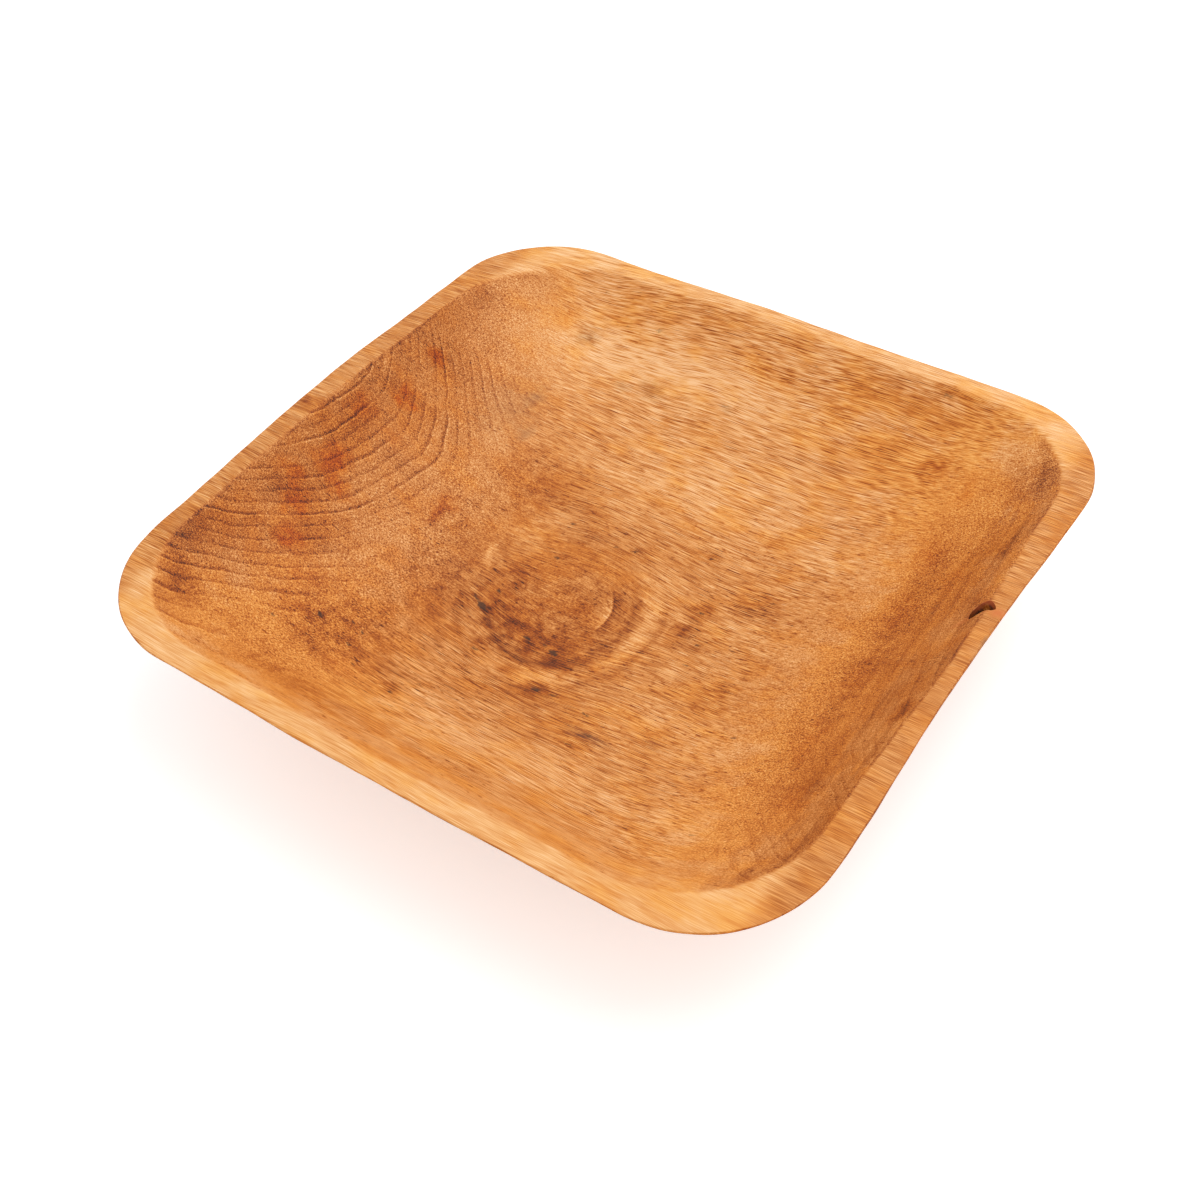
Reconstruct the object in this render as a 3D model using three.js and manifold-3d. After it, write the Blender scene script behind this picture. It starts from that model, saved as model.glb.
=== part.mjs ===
// A hand-carved square bowl with rounded corners: one hollowed block of timber, with a dead knot in its rim.
// Millimetres, +Z up. The origin is the middle of the flat foot, and the grain of the wood runs along X.
// Right is +X, back is +Y, left is -X and front is -Y.
import * as THREE from 'three';
import { mergeVertices } from 'three/addons/utils/BufferGeometryUtils.js';
import Module from 'manifold-3d';

// Outside
const rimLength = 307.7;
const rimWidth = 303.8;
const rimHeight = 67;
const rimCorners = { backRight: 50.5, backLeft: 45.5, frontLeft: 50.5, frontRight: 54 }; // radii
const rimBows = { right: -2, back: 0.7, left: 2.7, front: 1.2 }; // how far each side's middle stands out
const footLength = 132;
const footWidth = 130;
const footCorner = 42; // radius
const bellyOut = 0.53; // where the outside wall's curve is drawn to, as a share of its run
const bellyUp = 0.25; // and as a share of its height

// The rim isn't level: its rise over rimHeight at each side's middle and at each corner
const rimRises = {
  right: 3.4,
  backRight: 3.6,
  back: -0.7,
  backLeft: -4.7,
  left: 1.2,
  frontLeft: 2,
  front: -0.8,
  frontRight: -3.6,
};
const outerEdge = 2.2; // radius from the outside wall to the rim's top
const innerEdge = 4; // reach of the rounding from the rim's top into the hollow, to each side of the edge

// Hollow
const rimBands = { right: 13, back: 11, left: 10.5, front: 13 }; // the rim's width beside the corners
const hollowBows = { right: 3.4, back: 1.7, left: 1.4, front: 2.6 }; // how far each edge's middle stands out
const hollowCorners = { backRight: 47, backLeft: 54, frontLeft: 49, frontRight: 56 }; // radii
const floorThickness = 14;
const hollowPower = 3; // the hollow rises with this power of the distance from its middle

// Dead knot: an oval branch stub that slants out through the right side of the rim
const knotLength = 8.8;
const knotWidth = 6;
const knotTurn = 31; // degrees from the grain to its long way
const knotPlace = 32.6; // its middle, along Y
const knotInset = 12.4; // its middle, in from the right end of the rim
const knotLeanOut = 29; // degrees from the vertical towards the right, going down
const knotLeanFront = 33; // degrees from the vertical towards the front, going down
const knotSink = 3; // how far its top lies down its hole
const knotGap = 0.3; // between the knot and its hole

// Facets
const sideSteps = 8;
const cornerSteps = 10;
const wallSteps = 9;
const edgeSteps = 4;
const hollowSteps = 13;
const hollowMiddle = 0.08; // the innermost ring of the hollow, as a share of its opening
const knotSteps = 24;

const sides = ['right', 'back', 'left', 'front'];
const corners = ['backRight', 'backLeft', 'frontLeft', 'frontRight']; // each follows its side, anticlockwise
const quarterTurn = Math.PI / 2;
const middle = new THREE.Vector2();

const rimReach = {
  right: rimLength / 2,
  back: rimWidth / 2,
  left: rimLength / 2,
  front: rimWidth / 2,
};
const footReach = {
  right: footLength / 2,
  back: footWidth / 2,
  left: footLength / 2,
  front: footWidth / 2,
};
const openingReach = mapValues(rimReach, (reach, side) => reach - rimBands[side]);
const footCorners = mapValues(rimCorners, () => footCorner);
const straight = mapValues(rimBows, () => 0);

function mapValues(values, change) {
  return Object.fromEntries(Object.entries(values).map(([key, value]) => [key, change(value, key)]));
}

function mix(from, to, share) {
  return mapValues(from, (value, key) => THREE.MathUtils.lerp(value, to[key], share));
}

// A rounded rectangle round the middle, anticlockwise from halfway along its right side.
function outline(reach, radii, bows) {
  const points = [];
  sides.forEach((side, i) => {
    const next = sides[(i + 1) % sides.length];
    const last = sides[(i + sides.length - 1) % sides.length];
    const radius = radii[corners[i]];
    const lastRadius = radii[corners[(i + corners.length - 1) % corners.length]];
    const start = lastRadius - reach[last];
    const end = reach[next] - radius;
    for (let k = 0; k < sideSteps; k += 1) {
      const share = k / sideSteps;
      const bow = bows[side] * Math.sin(share * Math.PI) ** 2;
      const point = new THREE.Vector2(reach[side] + bow, THREE.MathUtils.lerp(start, end, share));
      points.push(point.rotateAround(middle, i * quarterTurn));
    }
    for (let k = 0; k < cornerSteps; k += 1) {
      const angle = (k / cornerSteps) * quarterTurn;
      const point = new THREE.Vector2(
        reach[side] - radius + radius * Math.cos(angle),
        end + radius * Math.sin(angle),
      );
      points.push(point.rotateAround(middle, i * quarterTurn));
    }
  });
  const halfSide = Math.floor(sideSteps / 2);
  return points.slice(halfSide).concat(points.slice(0, halfSide));
}

// The rise of the rim at each point of an outline, smooth from each side's middle to the next corner.
function rimRiseAlong(count) {
  const heights = sides.flatMap((side, i) => [rimRises[side], rimRises[corners[i]]]);
  const peaks = heights.map((height) => new THREE.Vector3(0, 0, height));
  const wave = new THREE.CatmullRomCurve3(peaks, true, 'catmullrom');
  return Array.from({ length: count }, (_, k) => wave.getPoint(k / count).z);
}

// Lifts an outline to its height. The rim's rise fades out with riseShare.
function level(points, rises, height, riseShare) {
  return points.map((point, k) => new THREE.Vector3(point.x, point.y, height + rises[k] * riseShare));
}

// Skins rings that run from the foot's middle, up the outside, over the rim and down to the hollow's middle.
function skin(rings, bottom, top) {
  const count = rings[0].length;
  const vertices = rings.flat().concat([bottom, top]);
  const bottomIndex = vertices.length - 2;
  const topIndex = vertices.length - 1;
  const topRing = (rings.length - 1) * count;
  const triangles = [];
  for (let k = 0; k < count; k += 1) {
    const next = (k + 1) % count;
    triangles.push(bottomIndex, next, k);
    triangles.push(topIndex, topRing + k, topRing + next);
    for (let ring = 0; ring < topRing; ring += count) {
      triangles.push(ring + k, ring + next, ring + count + next);
      triangles.push(ring + k, ring + count + next, ring + count + k);
    }
  }
  const geometry = new THREE.BufferGeometry().setFromPoints(vertices);
  geometry.setIndex(triangles);
  return geometry;
}

function carvedBlock() {
  const outer = outline(rimReach, rimCorners, rimBows);
  const opening = outline(openingReach, hollowCorners, hollowBows);
  const rises = rimRiseAlong(outer.length);
  const rings = [level(outline(footReach, footCorners, straight), rises, 0, 0)];

  const belly = new THREE.QuadraticBezierCurve(
    new THREE.Vector2(0, 0),
    new THREE.Vector2(bellyOut, bellyUp),
    new THREE.Vector2(1, 1),
  );
  for (let i = 1; i <= wallSteps; i += 1) {
    const { x: run, y: climb } = belly.getPoint(i / wallSteps);
    const section = outline(
      mix(footReach, rimReach, run),
      mix(footCorners, rimCorners, run),
      mix(straight, rimBows, run),
    );
    rings.push(level(section, rises, climb * (rimHeight - outerEdge), climb));
  }

  for (let i = 1; i <= edgeSteps; i += 1) {
    const angle = (i / edgeSteps) * quarterTurn;
    const inset = outerEdge * (1 - Math.cos(angle));
    const section = outer.map((point, k) => {
      const inwards = opening[k].clone().sub(point).setLength(inset);
      return inwards.add(point);
    });
    rings.push(level(section, rises, rimHeight - outerEdge * (1 - Math.sin(angle)), 1));
  }

  // The rounding into the hollow runs from the rim's top to the hollow's wall, drawn to the opening's edge.
  const wallShare = 1 - innerEdge / Math.min(...Object.values(openingReach));
  const edge = level(opening, rises, rimHeight, 1);
  const onTop = edge.map((point, k) => {
    const outwards = new THREE.Vector3(outer[k].x - opening[k].x, outer[k].y - opening[k].y, 0);
    return outwards.setLength(innerEdge).add(point);
  });
  const onWall = hollowRing(wallShare, rises);
  for (let i = 0; i <= edgeSteps; i += 1) {
    const share = i / edgeSteps;
    rings.push(edge.map((point, k) => {
      const rounding = new THREE.QuadraticBezierCurve3(onTop[k], point, onWall[k]);
      return rounding.getPoint(share);
    }));
  }
  for (let i = 1; i <= hollowSteps; i += 1) {
    rings.push(hollowRing(THREE.MathUtils.lerp(wallShare, hollowMiddle, i / hollowSteps), rises));
  }
  return skin(rings, new THREE.Vector3(0, 0, 0), new THREE.Vector3(0, 0, floorThickness));
}

// A ring of the hollow, a share of the way from its middle to its opening. It is rounder towards the middle.
function hollowRing(share, rises) {
  const roundest = Math.min(...Object.values(openingReach));
  const section = outline(
    mapValues(openingReach, (reach) => reach * share),
    mapValues(hollowCorners, (radius) => THREE.MathUtils.lerp(roundest, radius, share) * share),
    mapValues(hollowBows, (bow) => bow * share),
  );
  const climb = share ** hollowPower;
  return level(section, rises, THREE.MathUtils.lerp(floorThickness, rimHeight, climb), climb);
}

const knotDown = new THREE.Vector3(
  Math.tan(THREE.MathUtils.degToRad(knotLeanOut)),
  -Math.tan(THREE.MathUtils.degToRad(knotLeanFront)),
  -1,
).normalize();

// An oval rod on the knot's axis, grown by a gap all round, long enough to pass through the rim.
function knotRod(gap) {
  const oval = new THREE.Shape().absellipse(
    0,
    0,
    knotLength / 2 + gap,
    knotWidth / 2 + gap,
    0,
    2 * Math.PI,
    false,
    THREE.MathUtils.degToRad(knotTurn),
  );
  const geometry = new THREE.ExtrudeGeometry(oval, {
    depth: rimHeight,
    curveSegments: knotSteps,
    bevelEnabled: false,
  });
  geometry.translate(0, 0, -rimHeight / 2);
  const upwards = knotDown.clone().negate();
  geometry.applyQuaternion(new THREE.Quaternion().setFromUnitVectors(new THREE.Vector3(0, 0, 1), upwards));
  geometry.translate(rimLength / 2 - knotInset, knotPlace, rimHeight);
  return geometry;
}

const wasm = await Module();
wasm.setup();

function toSolid(geometry) {
  const bare = geometry.clone();
  bare.deleteAttribute('normal');
  bare.deleteAttribute('uv');
  const merged = mergeVertices(bare);
  return new wasm.Manifold(new wasm.Mesh({
    numProp: 3,
    vertProperties: new Float32Array(merged.getAttribute('position').array),
    triVerts: new Uint32Array(merged.getIndex().array),
  }));
}

function toMesh(name, solid, material) {
  const { vertProperties, triVerts } = solid.getMesh();
  const geometry = new THREE.BufferGeometry();
  geometry.setAttribute('position', new THREE.BufferAttribute(vertProperties, 3));
  geometry.setIndex(new THREE.BufferAttribute(triVerts, 1));
  geometry.computeVertexNormals();
  const mesh = new THREE.Mesh(geometry, material);
  mesh.name = name;
  return mesh;
}

const oiledWood = new THREE.MeshStandardMaterial({ color: 0xc88a4a, roughness: 0.5, metalness: 0 });
const darkKnot = new THREE.MeshStandardMaterial({ color: 0x4a2417, roughness: 0.75, metalness: 0 });

const block = toSolid(carvedBlock());
const sunk = knotDown.clone().multiplyScalar(knotSink);
const body = block.subtract(toSolid(knotRod(knotGap)));
const knot = toSolid(knotRod(0)).intersect(block).intersect(block.translate(sunk.toArray()));

const bowl = new THREE.Group();
bowl.add(toMesh('bowl_body', body, oiledWood));
bowl.add(toMesh('rim_knot', knot, darkKnot));

export default bowl;
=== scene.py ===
import math
import bmesh
import bpy
from mathutils import Matrix, Vector, noise


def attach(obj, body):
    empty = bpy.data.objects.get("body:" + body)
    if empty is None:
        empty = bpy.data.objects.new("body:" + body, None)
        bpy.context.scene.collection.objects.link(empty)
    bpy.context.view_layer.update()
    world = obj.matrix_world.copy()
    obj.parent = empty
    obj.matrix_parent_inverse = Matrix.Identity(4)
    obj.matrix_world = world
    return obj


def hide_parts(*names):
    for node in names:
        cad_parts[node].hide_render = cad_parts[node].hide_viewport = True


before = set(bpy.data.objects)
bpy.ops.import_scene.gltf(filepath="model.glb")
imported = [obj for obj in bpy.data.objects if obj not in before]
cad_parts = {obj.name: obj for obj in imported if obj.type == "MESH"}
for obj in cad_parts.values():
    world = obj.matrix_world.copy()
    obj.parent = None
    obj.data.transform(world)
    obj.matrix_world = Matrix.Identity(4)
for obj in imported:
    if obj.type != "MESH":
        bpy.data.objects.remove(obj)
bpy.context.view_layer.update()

print("frame loaded:", sorted(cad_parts))

# sides go right, back, left, front; corners go back right, back left, front left, front right
bowlShape = {
    "rimLength": 0.3077,
    "rimWidth": 0.3038,
    "rimHeight": 0.067,
    "rimCorners": (0.0505, 0.0455, 0.0505, 0.054),
    "rimBows": (-0.002, 0.0007, 0.0027, 0.0012),  # how far each side's middle stands out
    "rimRises": (0.0034, 0.0036, -0.0007, -0.0047, 0.0012, 0.002, -0.0008, -0.0036),  # side, corner...
    "rimBands": (0.0118, 0.0098, 0.0089, 0.0109),  # the rim's width beside the corners
    "footLength": 0.132,
    "footWidth": 0.130,
    "footCorner": 0.042,
    "bellyOut": 0.53,  # where the outside wall's curve is drawn to
    "bellyUp": 0.25,
    "outerEdge": 0.0013,
    "innerEdge": 0.0017,
    "hollowCorners": (0.047, 0.054, 0.049, 0.056),
    "hollowBows": (0.0034, 0.0017, 0.0014, 0.0026),
    "floorThickness": 0.014,
    "hollowPower": 3,
    "straightShare": 0.3,  # of a quarter ring's points, on each half side
    "gridCells": 26,  # across the foot and the floor of the hollow
    "wallRows": 9,
    "edgeRows": 4,
    "hollowRows": 12,
    "floorShare": 0.28,  # where the floor's grid starts, as a share of the opening
    "smoothing": 2,  # subdivision levels
    "waveSize": 0.042,  # hand-carved unevenness
    "waveDepth": 0.0005,
    "dentSize": 0.013,
    "dentDepth": 0.00025,
    "cutBack": 0.0002,  # tools only take wood away, so the skin stays inside the solid's box
    "evenBelow": 0.012,  # the foot stays flat, and the unevenness grows up to this height
    "smoothAngle": 40,  # degrees, up to which an edge is shaded smooth
}

rimReach = [bowlShape["rimLength"] / 2, bowlShape["rimWidth"] / 2] * 2
footReach = [bowlShape["footLength"] / 2, bowlShape["footWidth"] / 2] * 2
openingReach = [reach - band for reach, band in zip(rimReach, bowlShape["rimBands"])]
footCorners = [bowlShape["footCorner"]] * 4
straight = [0.0] * 4


def lerp(low, high, share):
    return low + (high - low) * share


def mixLists(first, second, share):
    return [lerp(a, b, share) for a, b in zip(first, second)]


# a point on a rounded rectangle; turns runs from 0 to 1, anticlockwise from halfway along the right side
def outlinePoint(turns, reach, radii, bows):
    quarter = int(turns % 1 * 4)
    part = turns % 1 * 4 - quarter
    half = bowlShape["straightShare"]
    radius = radii[quarter]
    nextSide = (quarter + 1) % 4
    if part < half:  # from a side's middle to its corner
        side, along = quarter, 0.5 + part / half / 2
    elif part <= 1 - half:
        side, along = quarter, None
    else:  # from the corner to the next side's middle
        side, along = nextSide, (part - 1 + half) / half / 2
    if along is None:
        angle = (part - half) / (1 - 2 * half) * math.pi / 2
        x = reach[side] - radius + radius * math.cos(angle)
        y = reach[nextSide] - radius + radius * math.sin(angle)
    else:
        start = radii[(side - 1) % 4] - reach[(side - 1) % 4]
        end = reach[(side + 1) % 4] - radii[side]
        x = reach[side] + bows[side] * math.sin(along * math.pi) ** 2
        y = lerp(start, end, along)
    return Matrix.Rotation(side * math.pi / 2, 2) @ Vector((x, y))


# the rim's rise, smooth from each side's middle to the next corner
def rimRise(turns):
    rises = bowlShape["rimRises"]
    count = len(rises)
    first = int(turns % 1 * count)
    t = turns % 1 * count - first
    a, b, c, d = (rises[(first + k) % count] for k in (-1, 0, 1, 2))
    slopeB, slopeC = (c - a) / 2, (d - b) / 2
    cubed = 2 * b - 2 * c + slopeB + slopeC
    squared = 3 * c - 3 * b - 2 * slopeB - slopeC
    return cubed * t**3 + squared * t**2 + slopeB * t + b


def footPoint(turns, share):
    flat = outlinePoint(turns, footReach, footCorners, straight) * share
    return Vector((flat.x, flat.y, 0))


def wallPoint(turns, step):
    run = 2 * step * (1 - step) * bowlShape["bellyOut"] + step**2
    climb = 2 * step * (1 - step) * bowlShape["bellyUp"] + step**2
    flat = outlinePoint(
        turns,
        mixLists(footReach, rimReach, run),
        mixLists(footCorners, bowlShape["rimCorners"], run),
        mixLists(straight, bowlShape["rimBows"], run),
    )
    height = climb * (bowlShape["rimHeight"] - bowlShape["outerEdge"]) + rimRise(turns) * climb
    return Vector((flat.x, flat.y, height))


def hollowPoint(turns, share):
    roundest = min(openingReach)
    flat = outlinePoint(
        turns,
        [reach * share for reach in openingReach],
        [lerp(roundest, radius, share) * share for radius in bowlShape["hollowCorners"]],
        [bow * share for bow in bowlShape["hollowBows"]],
    )
    climb = share ** bowlShape["hollowPower"]
    height = lerp(bowlShape["floorThickness"], bowlShape["rimHeight"], climb) + rimRise(turns) * climb
    return Vector((flat.x, flat.y, height))


def outerEdgePoint(turns, step):
    angle = step * math.pi / 2
    radius = bowlShape["outerEdge"]
    outer = outlinePoint(turns, rimReach, bowlShape["rimCorners"], bowlShape["rimBows"])
    inwards = outlinePoint(turns, openingReach, bowlShape["hollowCorners"], bowlShape["hollowBows"]) - outer
    flat = outer + inwards.normalized() * radius * (1 - math.cos(angle))
    return Vector((flat.x, flat.y, bowlShape["rimHeight"] + rimRise(turns) - radius * (1 - math.sin(angle))))


wallShare = 1 - bowlShape["innerEdge"] / min(openingReach)


def innerEdgePoint(turns, step):
    outer = outlinePoint(turns, rimReach, bowlShape["rimCorners"], bowlShape["rimBows"])
    flat = outlinePoint(turns, openingReach, bowlShape["hollowCorners"], bowlShape["hollowBows"])
    height = bowlShape["rimHeight"] + rimRise(turns)
    edge = Vector((flat.x, flat.y, height))
    outwards = (outer - flat).normalized() * bowlShape["innerEdge"]
    onTop = edge + Vector((outwards.x, outwards.y, 0))
    onWall = hollowPoint(turns, wallShare)
    return onTop * (1 - step) ** 2 + edge * 2 * step * (1 - step) + onWall * step**2


# height of the hollow under a place, for marks that lie on it
def hollowHeight(x, y):
    sideX, sideY = (0 if x > 0 else 2), (1 if y > 0 else 3)
    corner = {(0, 1): 0, (2, 1): 1, (2, 3): 2, (0, 3): 3}[sideX, sideY]
    low, high, closeEnough = 0.0, 1.0, 0.001
    while high - low > closeEnough:
        share = (low + high) / 2
        radius = lerp(min(openingReach), bowlShape["hollowCorners"][corner], share) * share
        overX = abs(x) - (openingReach[sideX] * share - radius)
        overY = abs(y) - (openingReach[sideY] * share - radius)
        outside = math.hypot(max(overX, 0), max(overY, 0)) > radius
        low, high = (share, high) if outside else (low, share)
    climb = low ** bowlShape["hollowPower"]
    rise = rimRise(math.atan2(y, x) / (2 * math.pi)) * climb
    return lerp(bowlShape["floorThickness"], bowlShape["rimHeight"], climb) + rise


# where a point of a square grid from -1 to 1 lies: turns round the middle, and share of the way out
def gridPlace(point):
    u, v = (round(way, 4) for way in point.xy)
    share = max(abs(u), abs(v))
    if share == 0:
        return 0.0, 0.0
    if u == share and abs(v) < share or u == v == share:
        turns = v / share
    elif v == share:
        turns = 2 - u / share
    elif u == -share:
        turns = 4 - v / share
    else:
        turns = 6 + u / share
    return turns / 8, share


def smoothByAngle(piece, degrees):
    bpy.ops.object.select_all(action="DESELECT")
    piece.select_set(True)
    bpy.context.view_layer.objects.active = piece
    bpy.ops.object.shade_smooth_by_angle(angle=math.radians(degrees))


def applyModifier(piece, kind, **settings):
    modifier = piece.modifiers.new(kind.title(), kind)
    for name, value in settings.items():
        setattr(modifier, name, value)
    bpy.context.view_layer.objects.active = piece
    bpy.ops.object.modifier_apply(modifier=modifier.name)


# edit mode hands out its points and faces in an order that changes from run to run, so they are sorted
def fixOrder(piece):
    mesh = piece.data
    order = sorted(range(len(mesh.vertices)), key=lambda k: mesh.vertices[k].co[:])
    rank = {old: new for new, old in enumerate(order)}
    points = [mesh.vertices[k].co.copy() for k in order]
    faces = []
    for face in mesh.polygons:
        corners = [rank[k] for k in face.vertices]
        first = corners.index(min(corners))
        faces.append(corners[first:] + corners[:first])
    mesh.clear_geometry()
    mesh.from_pydata(points, [], sorted(faces))


# the camera stands where the photo was taken from
cameraView = {
    "place": (0.3022, -0.4343, 0.5730),
    "azimuth": 35.65,
    "elevation": 46.11,
    "roll": -2.64,
    "lens": 55.5,
    "sensor": 36,
    "nearest": 0.01,
}


def makeCamera():
    azimuth, elevation, roll = (math.radians(cameraView[k]) for k in ("azimuth", "elevation", "roll"))
    bpy.ops.object.camera_add()
    camera = bpy.context.object
    camera.name = "photo_camera"
    level = math.cos(elevation)
    back = Vector((math.sin(azimuth) * level, -math.cos(azimuth) * level, math.sin(elevation)))
    right = Vector((math.cos(azimuth), math.sin(azimuth), 0))
    axes = Matrix((right, back.cross(right), back)).transposed() @ Matrix.Rotation(roll, 3, "Z")
    camera.matrix_world = Matrix.Translation(cameraView["place"]) @ axes.to_4x4()
    camera.data.lens = cameraView["lens"]
    camera.data.sensor_width = cameraView["sensor"]
    camera.data.clip_start = cameraView["nearest"]
    bpy.context.scene.camera = camera
    print("camera placed")


# the bowl: a grid for the foot, whose edge is extruded up the wall, over the rim and down the hollow,
# and is then bridged to the grid of the hollow's floor
def makeBowl():
    cells = bowlShape["gridCells"]
    bpy.ops.object.select_all(action="DESELECT")
    bpy.ops.mesh.primitive_grid_add(x_subdivisions=cells, y_subdivisions=cells, size=2)
    bowl = bpy.context.object
    bowl.name = "carved_bowl"
    bpy.ops.object.mode_set(mode="EDIT")
    bm = bmesh.from_edit_mesh(bowl.data)
    turnsLayer = bm.verts.layers.float.new("turns")
    for vert in bm.verts:
        turns, share = gridPlace(vert.co)
        vert[turnsLayer] = turns
        vert.co = footPoint(turns, share)
    bpy.ops.mesh.flip_normals()  # the foot faces down
    bpy.ops.mesh.select_mode(type="EDGE")
    bpy.ops.mesh.select_all(action="SELECT")
    bpy.ops.mesh.region_to_loop()

    rows = [(wallPoint, (k + 1) / bowlShape["wallRows"]) for k in range(bowlShape["wallRows"])]
    rows += [(outerEdgePoint, (k + 1) / bowlShape["edgeRows"]) for k in range(bowlShape["edgeRows"])]
    rows += [(innerEdgePoint, k / bowlShape["edgeRows"]) for k in range(bowlShape["edgeRows"] + 1)]
    inner = bowlShape["floorShare"] + (wallShare - bowlShape["floorShare"]) / bowlShape["hollowRows"]
    for k in range(bowlShape["hollowRows"]):
        rows.append((hollowPoint, lerp(wallShare, inner, (k + 1) / bowlShape["hollowRows"])))
    for pointOn, step in rows:
        bpy.ops.mesh.extrude_edges_move()
        bm = bmesh.from_edit_mesh(bowl.data)
        turnsLayer = bm.verts.layers.float["turns"]
        for vert in bm.verts:
            if vert.select:
                vert.co = pointOn(vert[turnsLayer], step)
        bmesh.update_edit_mesh(bowl.data)
    lastRing = {vert.index for vert in bm.verts if vert.select}

    bpy.ops.mesh.select_all(action="DESELECT")
    bpy.ops.mesh.primitive_grid_add(x_subdivisions=cells, y_subdivisions=cells, size=2)
    bm = bmesh.from_edit_mesh(bowl.data)
    turnsLayer = bm.verts.layers.float["turns"]
    for vert in bm.verts:
        if vert.select:
            turns, share = gridPlace(vert.co)
            vert.co = hollowPoint(turns, share * bowlShape["floorShare"])
    bmesh.update_edit_mesh(bowl.data)
    bpy.ops.mesh.region_to_loop()
    bm = bmesh.from_edit_mesh(bowl.data)
    bm.verts.ensure_lookup_table()
    for edge in bm.edges:
        if all(vert.index in lastRing for vert in edge.verts) and len(edge.link_faces) == 1:
            edge.select = True
    bpy.ops.mesh.bridge_edge_loops()
    bpy.ops.mesh.select_all(action="SELECT")
    bpy.ops.mesh.normals_make_consistent(inside=False)
    bpy.ops.object.mode_set(mode="OBJECT")
    fixOrder(bowl)

    levels = bowlShape["smoothing"]
    applyModifier(bowl, "SUBSURF", levels=levels, render_levels=levels)
    carveUneven(bowl)
    print("bowl carved:", len(bowl.data.polygons), "faces")
    return bowl


# pushes the skin in and out a little, as hand tools leave it
def carveUneven(bowl):
    normals = [vert.normal.copy() for vert in bowl.data.vertices]
    for vert, normal in zip(bowl.data.vertices, normals):
        fade = min(vert.co.z / bowlShape["evenBelow"], 1)
        wave = noise.noise(vert.co / bowlShape["waveSize"]) * bowlShape["waveDepth"]
        dent = noise.noise(vert.co / bowlShape["dentSize"]) * bowlShape["dentDepth"]
        vert.co += normal * (wave + dent - bowlShape["cutBack"]) * fade
    bowl.data.update()


# the dead knot: an oval branch stub with one straighter side, which slants out under the rim
knotShape = {
    "length": 0.0096,
    "width": 0.0116,
    "nearSide": 0.10,  # how far its near side stands out, as a share of its far side
    "turn": 26,  # degrees from the grain to its long way
    "place": (0.1439, 0.0300, 0.068),
    "leanOut": 12,  # degrees from the vertical, going down
    "leanFront": 8,
    "rodLength": 0.06,
    "rodSides": 40,
    "rodRows": 40,
    "unevenSize": 0.003,
    "unevenness": 0.0005,
    "seed": 5,  # of the unevenness, which otherwise changes from run to run
    "sink": 0.006,  # how far the stub's top lies down its hole
    "gap": 0.0003,  # between the stub and its hole
    "topFacing": 0.8,  # how squarely the faces of its top lie across it
    "topGrain": 0.0016,
    "topRoughness": 0.0008,
    "smoothAngle": 40,
}


def knotAxis():
    out, front = (math.tan(math.radians(knotShape[k])) for k in ("leanOut", "leanFront"))
    return Vector((-out, front, 1)).normalized()


# an uneven rod on the knot's axis
def makeRod(name, grow, length):
    bpy.ops.object.select_all(action="DESELECT")
    sides = knotShape["rodSides"]
    bpy.ops.mesh.primitive_cylinder_add(vertices=sides, radius=1, depth=1, end_fill_type="TRIFAN")
    rod = bpy.context.object
    rod.name = name
    bpy.ops.object.mode_set(mode="EDIT")
    bpy.ops.mesh.select_mode(type="EDGE")
    bpy.ops.mesh.select_all(action="DESELECT")
    bm = bmesh.from_edit_mesh(rod.data)
    for edge in bm.edges:
        edge.select = abs(edge.verts[0].co.z - edge.verts[1].co.z) > 0.5  # from end to end
    bpy.ops.mesh.subdivide(number_cuts=knotShape["rodRows"])
    bm = bmesh.from_edit_mesh(rod.data)
    toAxis = Vector((0, 0, 1)).rotation_difference(knotAxis()).to_matrix()
    spin = Matrix.Rotation(math.radians(knotShape["turn"]), 3, "Z")
    noise.seed_set(knotShape["seed"])
    for vert in bm.verts:
        u, v, along = vert.co
        v *= 1 if v > 0 else knotShape["nearSide"]
        flat = Vector((u * knotShape["length"], v * knotShape["width"], 0)) / 2
        point = spin @ (flat + Vector((u, v, 0)) * grow) + Vector((0, 0, along * length))
        vert.co = toAxis @ point + Vector(knotShape["place"])
        rough = noise.noise_vector(vert.co / knotShape["unevenSize"]) * knotShape["unevenness"]
        vert.co += rough if u or v else Vector()
    bmesh.update_edit_mesh(rod.data)
    bpy.ops.mesh.select_all(action="SELECT")
    bpy.ops.mesh.normals_make_consistent(inside=False)
    bpy.ops.object.mode_set(mode="OBJECT")
    fixOrder(rod)
    return rod


# the stub is what its rod has in common with the uncut bowl, and with the bowl pushed down along the rod
def makeKnot(bowl):
    knot = makeRod("branch_stub", 0, knotShape["rodLength"])
    bpy.ops.object.select_all(action="DESELECT")
    bowl.select_set(True)
    bpy.context.view_layer.objects.active = bowl
    bpy.ops.object.duplicate()
    block = bpy.context.object
    applyModifier(knot, "BOOLEAN", operation="INTERSECT", solver="MANIFOLD", object=block)
    block.location = -knotAxis() * knotShape["sink"]
    bpy.context.view_layer.update()
    applyModifier(knot, "BOOLEAN", operation="INTERSECT", solver="MANIFOLD", object=block)
    bpy.data.objects.remove(block)
    axis = knotAxis()
    brokenTop = [vert for vert in knot.data.vertices if vert.normal.dot(axis) > knotShape["topFacing"]]
    for vert in brokenTop:
        vert.co += axis * noise.noise(vert.co / knotShape["topGrain"]) * knotShape["topRoughness"]
    hole = makeRod("knot_hole", knotShape["gap"], knotShape["rodLength"])
    applyModifier(bowl, "BOOLEAN", operation="DIFFERENCE", solver="MANIFOLD", object=hole)
    bpy.data.objects.remove(hole)
    print("knot set in its hole:", len(knot.data.polygons), "faces")
    return knot


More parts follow.
